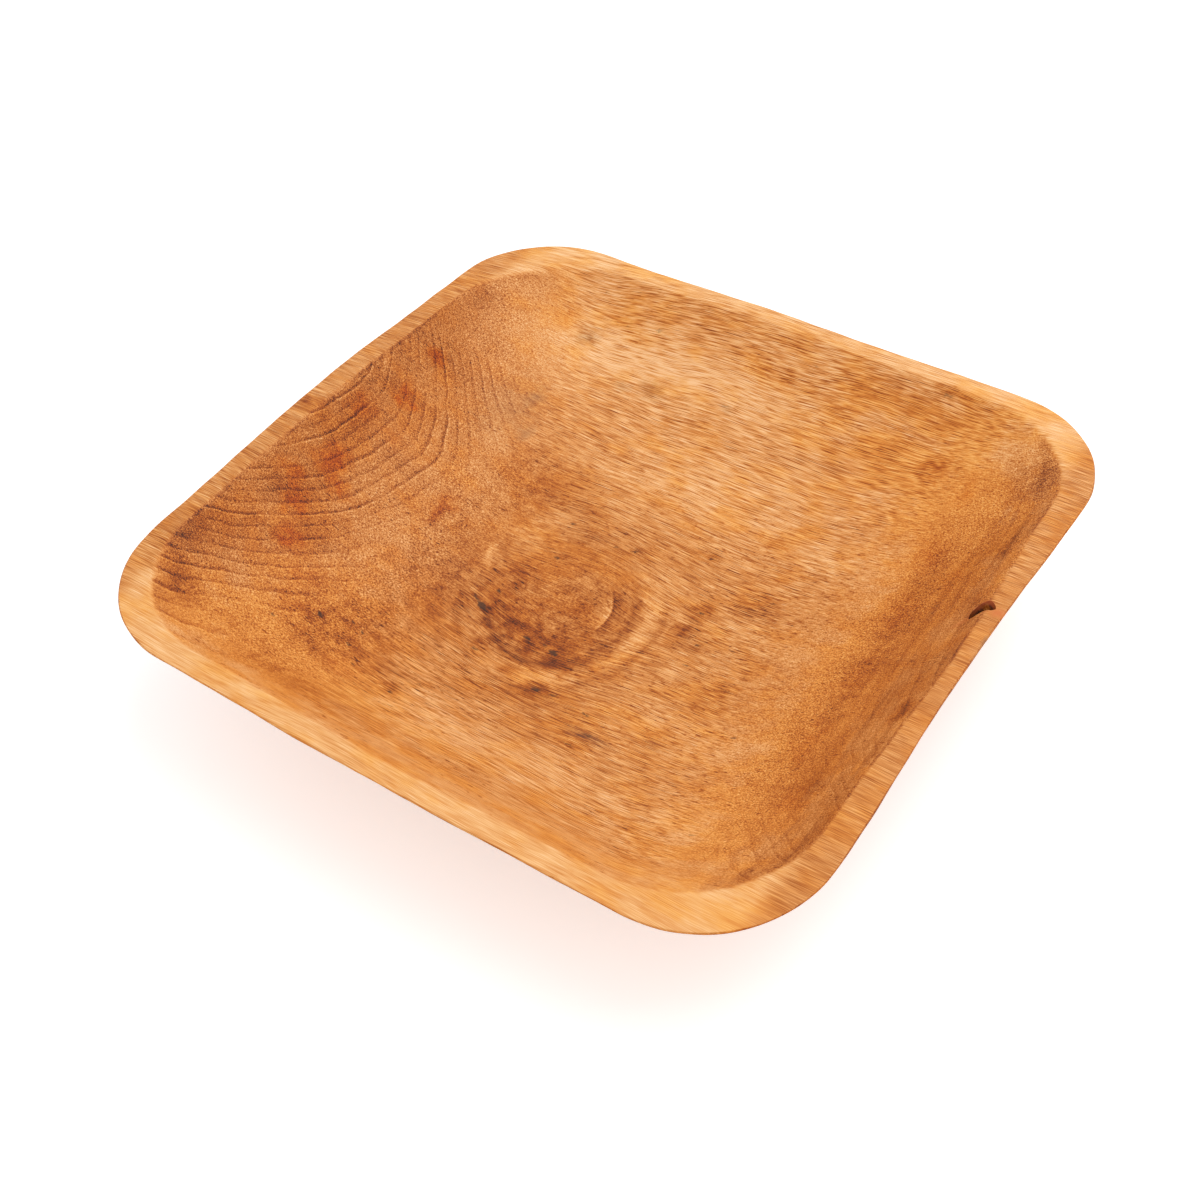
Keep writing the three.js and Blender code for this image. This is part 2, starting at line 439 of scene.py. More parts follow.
# a socket that can be reckoned with
class Wire:
    def __init__(self, finish, socket):
        self.finish = finish
        self.socket = socket

    def maths(self, operation, *values):
        return self.finish.node("Math", {"operation": operation}, dict(enumerate(values)))

    def abs(self):
        return self.maths("ABSOLUTE", self)

    def fract(self):
        return self.maths("FRACT", self)

    def floor(self):
        return self.maths("FLOOR", self)

    def exponent(self):
        return self.maths("EXPONENT", self)

    def least(self, other):
        return self.maths("MINIMUM", self, other)

    def most(self, other):
        return self.maths("MAXIMUM", self, other)

    def __add__(self, other):
        return self.maths("ADD", self, other)

    def __radd__(self, other):
        return self.maths("ADD", other, self)

    def __sub__(self, other):
        return self.maths("SUBTRACT", self, other)

    def __rsub__(self, other):
        return self.maths("SUBTRACT", other, self)

    def __mul__(self, other):
        return self.maths("MULTIPLY", self, other)

    def __rmul__(self, other):
        return self.maths("MULTIPLY", other, self)

    def __truediv__(self, other):
        return self.maths("DIVIDE", self, other)

    def __pow__(self, other):
        return self.maths("POWER", self, other)

    def __neg__(self):
        return self.maths("MULTIPLY", self, -1)


# a material or a world, and the nodes that make it
class Finish:
    def __init__(self, owner):
        self.owner = owner
        owner.use_nodes = True
        self.tree = owner.node_tree
        self.tree.nodes.clear()

    def node(self, kind, settings=None, sockets=None, out=0):
        made = self.tree.nodes.new("ShaderNode" + kind)
        for name, value in (settings or {}).items():
            if name == "stops":
                while len(made.color_ramp.elements) < len(value):
                    made.color_ramp.elements.new(1)
                for element, (position, colour) in zip(made.color_ramp.elements, value):
                    element.position = position
                    element.color = (*colour, 1)
            else:
                setattr(made, name, value)
        for name, value in (sockets or {}).items():
            if isinstance(value, Wire):
                self.tree.links.new(value.socket, made.inputs[name])
            else:
                made.inputs[name].default_value = value
        return Wire(self, made.outputs[out]) if made.outputs else None

    def smooth(self, value, low, high):
        limits = {"Value": value, "From Min": low, "From Max": high}
        return self.node("MapRange", {"interpolation_type": "SMOOTHSTEP"}, limits)

    def blend(self, share, first, second, how="MIX"):
        colours = [c if isinstance(c, Wire) else (*c, 1) for c in (first, second)]
        settings = {"data_type": "RGBA", "blend_type": how, "clamp_factor": True}
        return self.node("Mix", settings, {0: share, 6: colours[0], 7: colours[1]}, 2)

    def noise(self, place, along, across, detail, shift):
        scale = (1 / along, 1 / across, 1 / across)
        stretched = self.node("Mapping", {}, {"Vector": place, "Location": (shift,) * 3, "Scale": scale})
        return self.node("TexNoise", {}, {"Vector": stretched, "Scale": 1.0, "Detail": detail})

    # how deep in a list of soft round marks a place lies
    def marks(self, place, spots, thickness):
        total = 0.0
        for *sizes, turn, depth in spots:
            x, y, longWay, wideWay = (size / 1000 for size in sizes)
            spot = {
                "Vector": place,
                "Location": (x, y, hollowHeight(x, y)),
                "Rotation": (0, 0, math.radians(turn)),
                "Scale": (longWay, wideWay, thickness),
            }
            inSpot = self.node("Mapping", {"vector_type": "TEXTURE"}, spot)
            inside = self.node("TexGradient", {"gradient_type": "SPHERICAL"}, {"Vector": inSpot}, 1)
            total = inside * depth + total
        return total


# the wood grows along X
# a mark is x, y, half length and half width in millimetres, turn in degrees, strength
timber = {
    "tones": [  # from dark heart to pale edge
        (0.10, (0.050, 0.014, 0.005)),
        (0.235, (0.165, 0.032, 0.004)),
        (0.349, (0.360, 0.085, 0.008)),
        (0.439, (0.485, 0.147, 0.022)),
        (0.510, (0.600, 0.210, 0.045)),
        (0.569, (0.690, 0.270, 0.064)),
        (0.612, (0.775, 0.320, 0.090)),
        (0.698, (0.865, 0.435, 0.150)),
        (0.757, (0.950, 0.525, 0.220)),
        (0.85, (1.0, 0.62, 0.32)),
    ],
    "tone": 0.618,
    "endTone": -0.14,
    "bottomTone": -0.06,
    "rimTone": 0.08,
    "rimEndTone": -0.15,  # the rim's left and right sides are darker
    "ringTone": -0.235,
    "yearTone": 0.05,  # from one year's wood to the next
    "arcTone": 0.75,
    "poreTone": 1.03,
    "streakTone": 0.06,
    "mottleTone": 0.08,
    "broadTone": 0.15,
    "fleckTone": -0.20,
    "dashTone": -0.155,
    "freckleTone": -0.09,
    "zoneTone": 0.09,
    "rimStreakTone": 0.22,
    "bandTone": 0.45,  # on the right wall
    "edgeShadeTone": -0.10,  # painted shade along the hollow's edge, where the wall turns down under the rim
    "outerShadeTone": -0.16,  # painted shade along the rim's outer edge, on its down-facing curve
    "warmth": (1.0, 0.88, 0.55),  # what the orange zones are multiplied by
    "amber": (0.95, 0.76, 0.36),  # and what the orange marks are
    "greyForMarksAndShade": (0.24, 0.135, 0.075),
    "sootBlack": (0.050, 0.022, 0.011),
    "sootShare": 0.85,
    "rust": (0.66, 0.19, 0.045),
    "holeRed": (0.55, 0.14, 0.055),
    # painted shade deep in the knot's hole
    "holeDeepShade": (0.035, 0.020, 0.020),
    "holeReach": 0.62,  # of the knot's length and width
    "holeLength": 0.04,
    "holeTop": 0.0702,  # the rim's height beside the knot
    "holeInside": 0.1446,  # where the rim falls away towards the hollow
    "holeFall": 1.05,  # and how steeply
    "roughness": 0.5,
    "poreGloss": 0.3,
    "specular": 0.25,
    "bumpStrength": 0.4,
    "bumpDepth": 0.0002,
    "ringRelief": 0.3,
    "pithY": 0.013,
    "pithZ": 0.129,
    "ringGap": 0.0036,
    "ringRipple": 0.0035,
    "ringLine": [  # across one ring, with a pale edge
        (0.0, 0.25), (0.50, 0.32), (0.72, 0.95), (0.80, 0.85), (0.87, 0.0), (0.93, 0.02), (1.0, 0.25),
    ],
    "ringZero": 0.25,
    "ringsOnRight": 0.35,
    "archLeft": 0.9,  # how fast the grain bends forwards
    "flatFibres": 0.16,  # the fibres and the streaks are taller than wide
    "flatCells": 0.35,
    "strays": (16.0, 1.0),  # noise scale and detail
    "wander": 0.005,  # how far the grain strays
    "frays": (140.0, 3.0, 0.009),  # noise scale, detail and reach
    "nicks": (700.0, 1.0, 0.0024),
    "dashZero": 0.2,
    "eyePlace": (-0.022, -0.008),
    "eyeSize": (0.028, 0.034),
    "eyeReach": 0.033,  # where the grain bends round the eye
    "eyeBulge": 0.55,
    "eyeSpecks": 0.65,
    "eyeTones": [  # from the eye's middle to twice its size
        (0.0, 0.44), (0.30, 0.44), (0.37, 0.50), (0.42, 0.40), (0.46, 0.46), (0.51, 0.26), (0.55, 0.36),
        (0.60, 0.58), (0.65, 0.64), (0.69, 0.54), (0.74, 0.35), (0.80, 0.48), (0.86, 0.45), (1.0, 0.5),
    ],
    "stepLightAndShadeTones": [  # a short step in the eye, pale on its left: its painted highlight and shade
        (0.0, 0.5), (0.24, 0.5), (0.31, 0.64), (0.335, 0.70), (0.352, 0.22), (0.375, 0.36), (0.42, 0.5),
    ],
    "eyeZero": 0.5,
    "ridgeRipple": 0.08,
    "frontArcs": 0.8,
    "noises": {  # size along and across the grain, detail, and a shift that sets each apart
        "ripple": (0.02, 0.02, 3.0, 3.0),
        "ringBreaks": (0.03, 0.02, 2.0, 61.0),
        "broad": (0.16, 0.014, 3.0, 0.0),
        "mottle": (0.008, 0.003, 3.0, 7.0),
        "blots": (0.006, 0.005, 4.0, 37.0),
        "streaks": (0.03, 0.001, 2.0, 11.0),
        "lines": (0.010, 0.00023, 1.0, 17.0),
        "specks": (0.0010, 0.00042, 1.0, 41.0),
        "dashes": (0.0085, 0.00037, 0.0, 31.0),
        "rimStreaks": (0.025, 0.003, 3.0, 43.0),
        "bands": (0.05, 0.005, 3.0, 13.0),
        "patches": (0.030, 0.016, 2.0, 29.0),
        "flecks": (0.0034, 0.0009, 1.0, 23.0),
        "freckles": (0.0024, 0.0016, 2.0, 47.0),
        "zones": (0.018, 0.012, 4.0, 53.0),
    },
    "fades": {  # where a zone or a pattern starts, and where it is full
        "deep": (-0.04, -0.025),
        "inHollow": (0.2, 0.6),
        "arch": (-0.03, 0.06),
        "pithSides": (-0.03, 0.03),
        "leftWall": (0.085, 0.118),
        "leftOffBack": (-0.095, -0.055),
        "rightWall": (0.10, 0.13),
        "rightNear": (-0.07, 0.0),
        "backWall": (0.05, 0.10),
        "frontPores": (0.10, 0.14),
        "frontDashes": (0.10, 0.13),
        "rimUp": (0.80, 0.97),
        "rimHigh": (0.056, 0.0625),
        "rimEnds": (0.134, 0.144),
        "bottomUp": (0.88, 0.98),
        "leftBottom": (0.045, 0.085),
        "leftBottomNear": (-0.08, -0.03),
        "endGrain": (0.25, 0.75),
        "endSpecks": (0.15, 0.5),
        "eyeRight": (-0.024, -0.006),
        "eyeNear": (-0.026, -0.006),
        "eyeFront": (0.020, 0.034),
        "ridgeRight": (-0.014, -0.006),
        "ridgeNear": (-0.016, -0.004),
        "ridgeFar": (-0.018, -0.007),
        "ringBreaks": (0.35, 0.6),
        "blots": (0.3, 0.7),
        "dashes": (0.53, 0.72),
        "flecks": (0.60, 0.72),
        "fleckPatches": (0.42, 0.62),
        "freckles": (0.56, 0.70),
        "edgeSteep": (0.70, 0.76),
        "edgeFlat": (-0.92, -0.82),
        "edgeHigh": (0.054, 0.060),
        "edgeEnds": (0.11, 0.135),
        "edgePatches": (0.35, 0.6),
        "outside": (-0.5, -0.1),
        "outsideHigh": (0.058, 0.0625),
        "warmRight": (0.07, 0.11),
        "warmHigh": (0.043, 0.058),
        "warmFront": (0.085, 0.11),
        "soots": (0.03, 0.75),
        "holeSide": (-0.03, 0.07),
        "holeDepth": (0.0010, 0.0032),
        "holeEdge": (0.10, 0.18),
    },
    "levels": {  # what counts where a zone or a pattern is nothing, and what its full strength adds
        "pithSides": (0.75, 0.37),  # rings are flatter left of the pith
        "ringsOnLeft": (0.1, 1.1),
        "ringDepth": (0.3, 0.75),
        "ringBreaks": (0.4, 0.85),
        "ringsOnRim": (1, -0.75),
        "poresOnRight": (1, -0.35),
        "poresInFront": (1, -0.5),
        "dashesInFront": (1, -0.5),
        "flecksOnRim": (1, -0.85),
        "frecklesOnBottom": (0.35, 0.65),
        "calmAtBack": (1, -0.55),
        "warmsHigh": (1, -0.8),
        "mottledWarms": (0.5, 1),
        "mottledAshes": (0.4, 1.2),
        "blottedStains": (0.35, 1.3),
        "blottedAmbers": (0.3, 1.3),
    },
    "warmShares": {  # how much each zone or pattern adds to the orange
        "all": 0.1,
        "broad": 1.5,
        "bands": 3,
        "stains": -5.0,
        "zones": -4.5,
        "right": 0.75,
        "front": 0.3,
    },
    "markThickness": 0.013,
    "warmThickness": 0.03,
    "stains": [
        (-137, 0, 10, 20, 0, -0.06), (-130, -18, 8, 11, 0, -0.07), (-129, -37, 9, 13, 0, -0.06),
        (-117, -54, 10, 12, 40, -0.07), (-124, -63, 8, 9, 0, -0.05), (-134, 57, 4, 5, 0, -0.06),
        # the marks at -142, -92 and -127, -115 are painted shade along the hollow's edge at the front left
        # corner
        (-129, 32, 5, 5, 0, -0.06), (-91, 2, 5, 14, 0, -0.11), (-142, -92, 6, 18, 0, -0.1),
        (-127, -115, 22, 10, 135, -0.09), (-112, 85, 30, 34, 0, -0.035), (-152, -7, 7, 8, 0, -0.2),
        (-146, -2, 4, 5, 0, -0.14), (-40, -128, 50, 16, 0, -0.03), (-106, -69, 8, 4, 20, -0.12),
        (-85, -80, 55, 45, -20, -0.05), (-80, 0, 40, 60, 0, -0.05), (0, -66, 60, 24, 0, -0.04),
        (108, 0, 22, 110, 0, -0.05), (50, -118, 80, 26, 0, -0.04), (-24, -10, 46, 48, 0, -0.1),
        (-16, -28, 36, 22, 0, -0.06), (-22, -34, 36, 15, -4, -0.09), (4, -36, 12, 5, 50, -0.14),
        (-4, -55, 10, 6, 0, -0.14), (-20, -52, 7, 5, 0, -0.14), (-36, -46, 9, 6, 0, -0.14),
        (-46, -6, 14, 10, 0, -0.05), (-32, 26, 26, 16, 20, -0.07), (29, 18, 8, 8, 20, -0.2),
        (28, 5, 7, 7, 0, -0.18), (50, 29, 14, 7, 10, -0.14), (51, 38, 7, 4, 0, -0.12),
        (37, -2, 12, 8, 0, -0.08), (62, -16, 14, 8, 0, -0.1), (-14, 33, 9, 3, 20, -0.12),
        (17, 46, 7, 3, 30, -0.12), (27, -65, 14, 4, 0, -0.17), (25, -74, 9, 2, 0, -0.12),
        (52, -55, 8, 3, 10, -0.14), (-92, -79, 8, 5, -30, -0.12), (-44, -95, 10, 5, -30, -0.12),
        (-75, -60, 40, 30, -30, -0.04), (-90, -95, 30, 16, -30, -0.06), (110, 10, 18, 50, 0, -0.05),
        (138, -24, 5, 9, 0, -0.14), (134, 74, 5, 18, 0, -0.1), (-62, -25, 44, 44, 0, -0.1),
        (-78, -86, 46, 32, -10, -0.13), (-80, -120, 66, 22, 0, -0.12), (-70, 40, 40, 40, 0, -0.07),
        (105, 34, 14, 16, 0, -0.04), (106, 75, 22, 35, 0, -0.06), (118, -60, 14, 40, 0, -0.05),
        (83, 115, 9, 7, 0, -0.17), (55, 116, 14, 6, 0, -0.1), (75, 134, 50, 10, 0, -0.08),
        (76, 140, 10, 3, 0, -0.2), (-92, 116, 7, 5, 30, -0.16), (-105, 117, 8, 7, 0, -0.06),
        (-53, 107, 9, 4, 0, -0.12), (0, 130, 12, 3, 0, -0.14), (38, 134, 14, 3, 0, -0.12),
    ],
    "pales": [
        (-58, 14, 20, 26, 0, 0.06), (-64, -2, 3, 9, 20, 0.14), (-60, -10, 3, 6, 40, 0.1),
        (-53, 32, 10, 6, -40, 0.08), (-60, 118, 120, 46, 0, 0.145), (0, 74, 100, 36, 0, 0.11),
        (65, -46, 34, 14, 0, 0.03), (60, -92, 60, 16, 0, 0.01), (75, 60, 34, 20, 0, 0.04),
        (-114, -109, 6, 5, 30, 0.07), (-128, -19, 10, 2, 0, 0.1), (-131, -13, 14, 1.6, -35, 0.1),
    ],
    "warms": [
        (83, 115, 16, 12, 0, 1.0), (55, 116, 20, 9, 0, 0.8), (100, 105, 26, 22, 0, 0.8),
        (112, 20, 22, 90, 0, 1.0), (112, -60, 18, 60, 0, 1.0), (115, 70, 26, 60, 0, 0.9),
        (124, 80, 20, 42, 0, 0.9), (75, 110, 60, 30, 0, 0.5), (60, 116, 60, 34, 0, 0.6),
        (-105, 117, 12, 9, 0, 0.8), (-128, 35, 12, 30, 0, 0.9), (-122, -50, 14, 28, 0, 1.0),
        (-134, 0, 12, 34, 0, 0.8), (-131, -20, 9, 11, 0, 1.2), (-129, -48, 7, 9, 0, 1.2),
        (-123, -62, 6, 8, 0, 1.2), (-130, 32, 5, 6, 0, 1.2), (-134, 58, 4, 5, 0, 1.2),
        (-90, -90, 40, 26, -30, 0.8), (90, 134, 50, 12, 0, 0.7), (-60, -105, 60, 14, 0, 0.6),
        (-130, -95, 16, 40, 0, 0.5), (-90, -116, 44, 18, 0, 0.9), (104, 78, 24, 40, 0, 0.6),
        (104, 0, 22, 90, 0, 0.9), (-85, -90, 70, 50, -20, 0.9), (-80, -118, 60, 22, 0, 0.8),
    ],
    "ambers": [
        (-130, -19, 10, 12, 0, 2.2), (-122, -27, 8, 7, 0, 1.9), (-129, -47, 8, 9, 0, 1.8),
        (-121, -61, 7, 10, 0, 2.0), (-130.5, 31, 7, 8, 0, 2.8), (-134, 58, 5, 6, 0, 1.9),
        (-138, 10, 8, 12, 0, 1.2), (-135.6, -38, 8, 7, 0, 2.2), (-92, 2, 6, 13, 0, 1.0),
        (-108, -70, 9, 6, 20, 0.7), (-124, 12, 6, 9, 0, 0.6), (-100, -84, 12, 8, -20, 0.5),
        (-66, -96, 14, 6, -10, 0.5), (83, 115, 9, 7, 0, 0.7), (101, 107, 7, 11, 0, 0.6),
        (103, 76, 10, 14, 0, 0.5), (106, 40, 10, 16, 0, 0.5), (109, 4, 9, 16, 0, 0.5),
        (108, -36, 9, 18, 0, 0.45), (120, 58, 8, 14, 0, 0.45), (120, -70, 10, 14, 0, 0.4),
        (-105, 118, 7, 6, 0, 0.6), (52, 117, 12, 5, 0, 0.4),
    ],
    "greyMarksAndEdgeShade": [
        (-102, 66, 22, 30, 0, 0.2), (-96, 78, 5, 10, 0, 0.3), (-90, 60, 4, 8, 0, 0.3),
        (-53, 107, 9, 5, 0, 0.3), (-92, 116, 8, 5, 30, 0.3), (27, -65, 14, 4, 0, 0.3),
        # the mark at 153, 13 on the right rim's outer edge is dark bark and painted shade of the outer wall
        (153, 13, 3, 11, 0, 1.0), (-16, 112, 6, 2, 0, 0.3), (-65, 104, 5, 3, 0, 0.3),
        (52, -55, 8, 3, 0, 0.2),
    ],
    "soots": [
        (-49.6, -28.2, 3.4, 2.2, -25, 1.5), (-54, -26, 4, 1.2, -30, 0.7),
        (-10.6, -32.7, 3.0, 1.8, -10, 1.3), (-24, -32, 2.6, 1.5, 0, 0.9), (-16, -31, 2, 1, 0, 0.6),
        (-40, 13, 2.0, 1.2, 0, 0.7), (-49, -17, 2.2, 0.9, -40, 0.8), (20, -54.5, 2.6, 0.9, 0, 0.8),
        (-4, -54, 3.4, 1.6, 10, 0.8), (3, -53, 3, 1.2, 20, 0.7), (-37, -50, 3, 1.4, 0, 0.7),
        (-92, -79, 2.6, 1.1, -30, 1.2), (-74, -84, 1.8, 0.9, -20, 0.8),
        (-81, -72, 2, 0.8, -40, 0.8), (-75, -74, 1.8, 0.8, -20, 0.8), (-44, -95, 2.6, 1, -40, 0.7),
        (-65, -92, 2, 0.8, -30, 0.7), (-102, -95, 1.6, 1, 0, 0.7), (-40, -82, 2.4, 1, 0, 0.6),
        (-16, 112, 3.6, 0.9, 10, 0.4), (-62, 129, 4, 0.9, 10, 0.4), (-77, 127, 2.4, 0.9, 30, 0.3),
        (-94, 135, 2, 1, 40, 0.35), (15, 136, 2.4, 0.8, 0, 0.4), (76, 139.5, 4, 1, 0, 0.5),
        (-33, 107, 1.6, 0.9, 0, 0.3), (-91, 115, 3, 1.2, 40, 0.35), (17, 46, 2.4, 0.9, 30, 0.7),
        (-14, 34, 2.4, 0.8, 30, 0.7), (-22, 32, 2, 0.8, 20, 0.6), (-45, 33, 2, 0.8, 30, 0.7),
        (29, 18, 2.6, 1, 20, 0.7), (37, 2, 2.2, 0.8, 20, 0.7), (39, -10, 2, 0.8, 20, 0.6),
        (28, -64.5, 5, 1, 0, 0.6), (25, -73.5, 4, 0.8, 0, 0.6), (53, 36, 2.4, 0.8, 20, 0.6),
        (78, -38, 2.4, 1, 20, 0.6), (95, -96, 2.6, 1, 20, 0.5),
    ],
    "rusts": [(149.5, 31.0, 5, 3.4, 10, 1.3), (137, 26, 5, 2, 35, 0.6)],
}


def makeTimber():
    finish = Finish(bpy.data.materials.new("oiled_timber"))
    place = finish.node("TexCoord", {}, {}, "Object")
    normal = finish.node("TexCoord", {}, {}, "Normal")

    def axis(vector, name):
        return finish.node("SeparateXYZ", {}, {0: vector}, name)

    def pattern(where, name):
        return finish.noise(where, *timber["noises"][name])

    def fade(value, name):
        return finish.smooth(value, *timber["fades"][name])

    def level(value, name):
        low, gain = timber["levels"][name]
        return low + gain * value

    def ramp(value, name, zero):
        stops = [(position, (height,) * 3) for position, height in timber[name]]
        return finish.node("ValToRGB", {"stops": stops}, {0: value}) - zero

    # places moved a little to and fro, so that marks on them have uneven edges
    def shaken(name):
        scale, detail, reach = timber[name]
        shakes = finish.node("TexNoise", {}, {"Vector": place, "Scale": scale, "Detail": detail}, 1)
        moved = {0: shakes, 1: (reach,) * 3, 2: place}
        moved = finish.node("VectorMath", {"operation": "MULTIPLY_ADD"}, moved)
        return finish.node("VectorMath", {"operation": "SUBTRACT"}, {0: moved, 1: (reach / 2,) * 3})

    def eyeDistance(where):
        spot = {"Vector": where, "Location": (*timber["eyePlace"], 0), "Scale": (*timber["eyeSize"], 1)}
        fromEye = finish.node("Mapping", {"vector_type": "TEXTURE"}, spot)
        return finish.node("VectorMath", {"operation": "LENGTH"}, {0: fromEye}, 1)

    x, y, z = (axis(place, name) for name in "XYZ")
    endOn = axis(normal, "X").abs()
    facesUp = axis(normal, "Z")
    frayed, nicked = shaken("frays"), shaken("nicks")
    thickness = timber["markThickness"]

    # parts of the bowl
    deep = fade(-z, "deep")
    onLeft = fade(-x, "leftWall") * fade(-y, "leftOffBack")
    onRight = fade(x, "rightWall")
    onRim = fade(facesUp, "rimUp") * fade(z, "rimHigh")
    offRim = 1 - onRim
    onRimEnd = onRim * fade(x.abs(), "rimEnds")
    onBottom = fade(facesUp, "bottomUp") * deep
    onLeftBottom = fade(-x, "leftBottom") * fade(-y, "leftBottomNear")
    endShare = fade(endOn, "endGrain")

    # the grain strays gently up, down and sideways, and bends on the left and round the eye
    scale, detail = timber["strays"]
    strays = finish.node("TexNoise", {}, {"Vector": place, "Scale": scale, "Detail": detail}, 1)
    strayedY = y + (axis(strays, "Y") - 0.5) * timber["wander"]
    strayedZ = z + (axis(strays, "Z") - 0.5) * timber["wander"]
    leftOf = x.least(0.0)
    slantedY = strayedY + leftOf * leftOf * fade(y, "arch") * timber["archLeft"]
    fromEyeX, fromEyeY = (way - middle for way, middle in zip((x, y), timber["eyePlace"]))
    bulge = (fromEyeX * fromEyeX + fromEyeY * fromEyeY) / -timber["eyeReach"] ** 2
    bulge = bulge.exponent() * deep
    slantedY = slantedY - fromEyeY * bulge * timber["eyeBulge"]
    grain = finish.node("CombineXYZ", {}, {0: x, 1: slantedY, 2: strayedZ * timber["flatCells"]})
    fibre = finish.node("CombineXYZ", {}, {0: x, 1: slantedY, 2: strayedZ * timber["flatFibres"]})

    # growth rings round the pith
    fromPith = strayedY - timber["pithY"]
    across = fromPith * level(fade(fromPith, "pithSides"), "pithSides")
    down = timber["pithZ"] - strayedZ
    radius = (across * across + down * down) ** 0.5
    ripple = pattern(place, "ripple") - 0.5
    rings = (radius + ripple * timber["ringRipple"]) / timber["ringGap"]
    ringLine = ramp(rings.fract(), "ringLine", timber["ringZero"])
    ringDepth = finish.node("TexWhiteNoise", {"noise_dimensions": "1D"}, {"W": rings.floor()})
    ringBreaks = fade(pattern(place, "ringBreaks"), "ringBreaks")
    ringMask = ringLine * (level(onLeft, "ringsOnLeft") + timber["ringsOnRight"] * onRight)
    ringMask = ringMask * level(ringDepth, "ringDepth") * level(ringBreaks, "ringBreaks")
    ringMask = ringMask * level(onRim, "ringsOnRim")

    # the eye: arcs round a swirl of the grain, clearest on its right, with the painted highlight and shade
    # of a short ridge
    arcs = ramp(eyeDistance(frayed) / 2, "eyeTones", timber["eyeZero"])
    shown = fade(x, "eyeRight") * fade(-y, "eyeNear")
    inFront = arcs.least(0.0) * fade(-y, "eyeFront") * timber["frontArcs"]
    arcs = arcs * shown + inFront * (1 - shown)
    # painted highlight and shade: the ridge is not in the relief, its pale and dark sides are painted into
    # the tone
    ridgeDistance = eyeDistance(place) + ripple * timber["ridgeRipple"]
    stepHighlightAndShade = ramp(ridgeDistance / 2, "stepLightAndShadeTones", timber["eyeZero"])
    stepHighlightAndShade = stepHighlightAndShade * fade(x, "ridgeRight") * fade(y, "ridgeFar") * fade(-y, "ridgeNear")
    arcs = (arcs + stepHighlightAndShade) * deep * fade(facesUp, "inHollow")

    # long lines where the wood is cut along its grain, and specks where it is cut across
    speckShare = fade(endOn, "endSpecks").most(onLeftBottom).most(bulge * timber["eyeSpecks"])
    lines = pattern(fibre, "lines") - 0.5
    specks = pattern(place, "specks") - 0.5
    pores = lines + (specks - lines) * speckShare * offRim
    pores = pores * level(onRight * fade(-y, "rightNear"), "poresOnRight")
    pores = pores * level(fade(-y, "frontPores"), "poresInFront")
    dashes = fade(pattern(fibre, "dashes"), "dashes") - timber["dashZero"]
    dashes = dashes * (1 - speckShare) * offRim * level(fade(-y, "frontDashes"), "dashesInFront")

    # streaks, flecks and larger patches
    broad = pattern(grain, "broad") - 0.5
    mottle = pattern(grain, "mottle")
    blots = fade(pattern(place, "blots"), "blots")
    streaks = pattern(grain, "streaks") - 0.5
    rimStreaks = (pattern(grain, "rimStreaks") - 0.5) * onRim
    sideways = finish.node("CombineXYZ", {}, {0: y, 1: x, 2: z})
    bands = (pattern(sideways, "bands") - 0.5) * onRight * offRim
    patches = pattern(grain, "patches")
    flecks = fade(pattern(grain, "flecks"), "flecks") * fade(patches, "fleckPatches")
    flecks = flecks * level(onRim, "flecksOnRim")
    freckles = fade(pattern(grain, "freckles"), "freckles")
    freckles = freckles * level(onBottom, "frecklesOnBottom") * offRim
    zones = pattern(place, "zones") - 0.5
    # painted shade: a darker line on the steep faces just inside the hollow's edge, on the left and right,
    # in patches
    justInside = fade(facesUp, "edgeSteep") * fade(-facesUp, "edgeFlat") * fade(z, "edgeHigh")
    paintedEdgeShade = justInside * fade(x.abs(), "edgeEnds") * fade(patches, "edgePatches")
    # painted shade on the down-facing curve of the rim's outer edge
    paintedOuterShade = fade(-facesUp, "outside") * fade(z, "outsideHigh")
    stains = finish.marks(frayed, timber["stains"], thickness) * level(blots, "blottedStains")
    pales = finish.marks(frayed, timber["pales"], thickness)

    # one tone from dark to pale gives the colour
    calm = level(fade(y, "backWall") * offRim, "calmAtBack")  # the back wall is the evenest
    uneven = broad * timber["broadTone"] + (mottle - 0.5) * timber["mottleTone"]
    uneven = uneven + flecks * timber["fleckTone"] + freckles * timber["freckleTone"]
    uneven = uneven + zones * timber["zoneTone"]
    tone = timber["tone"] + endShare * timber["endTone"] + onBottom * timber["bottomTone"]
    tone = tone + onRim * timber["rimTone"] + onRimEnd * timber["rimEndTone"]
    tone = tone + ringMask * timber["ringTone"] + (ringDepth - 0.5) * onLeft * timber["yearTone"]
    tone = tone + arcs * timber["arcTone"] + stains + pales + uneven * calm
    tone = tone + streaks * timber["streakTone"] + pores * timber["poreTone"] + dashes * timber["dashTone"]
    tone = tone + rimStreaks * timber["rimStreakTone"] + bands * timber["bandTone"]
    tone = tone + paintedEdgeShade * timber["edgeShadeTone"] + paintedOuterShade * timber["outerShadeTone"]
    colour = finish.node("ValToRGB", {"stops": timber["tones"]}, {0: tone})

